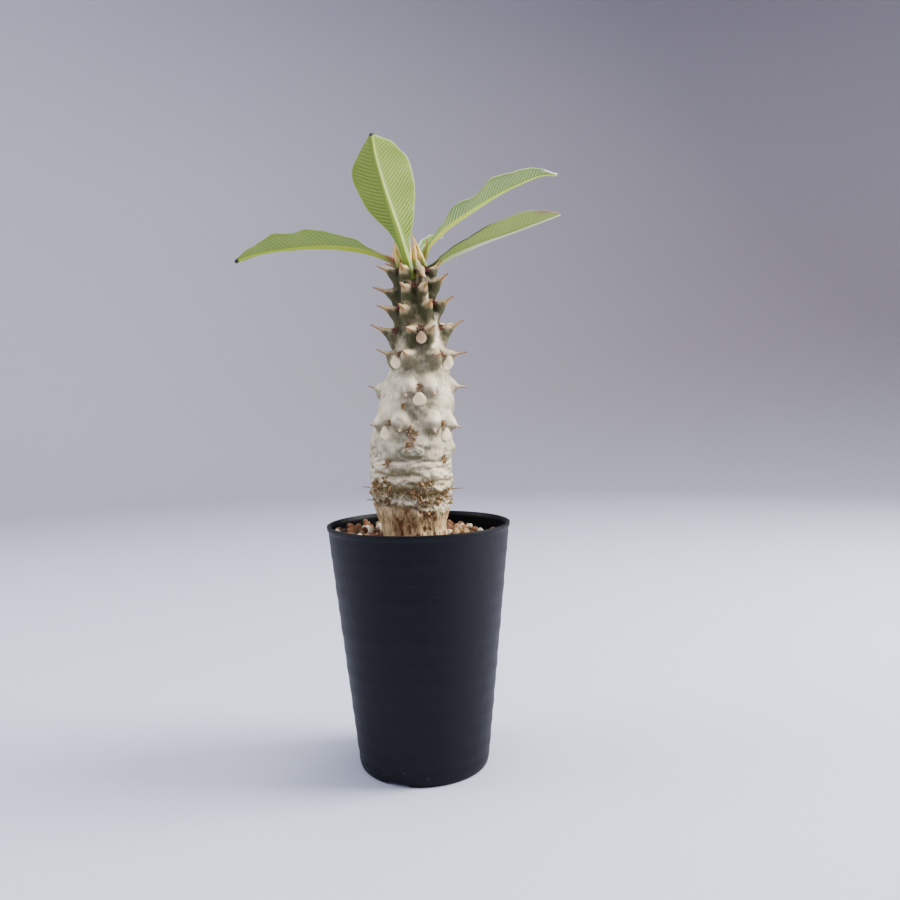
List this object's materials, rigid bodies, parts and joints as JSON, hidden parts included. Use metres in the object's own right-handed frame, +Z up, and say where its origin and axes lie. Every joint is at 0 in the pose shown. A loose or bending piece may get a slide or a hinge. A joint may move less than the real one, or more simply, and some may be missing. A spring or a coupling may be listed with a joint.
{
  "type": "potted succulent plant",
  "caption": "Potted spiny caudex succulent: a silvery tapering stem with paired thorns and broad ribbed leaves at its crown, rooted in granular soil in a tall dark tapered plastic pot.",
  "frame": {"origin": "middle of the pot's underside, on the surface that the pot stands on", "axes": "+Z up along the pot's axis, -Y towards the front that the picture shows, +X to its right"},
  "size_m": [0.1904, 0.105, 0.3511],
  "materials": {
    "pot": "satin dark blue-black moulded plastic with faint rings",
    "soil": "loose fired clay, pumice and lava grains, brown, tan, cream and dark",
    "stem": "silvery grey-green waxy bark, browner and fissured towards the soil, with cream scars and brown spine tips",
    "leaf": "fresh yellow-green living leaf with pale veins and a pale midrib, slightly glossy"
  },
  "bodies": {
    "root": {"pot": "pot", "soil": "soil", "stem": "stem", "leaf_front": "leaf", "leaf_left": "leaf", "leaf_right_upper": "leaf", "leaf_right_lower": "leaf", "leaf_back": "leaf"}
  },
  "joints": []
}
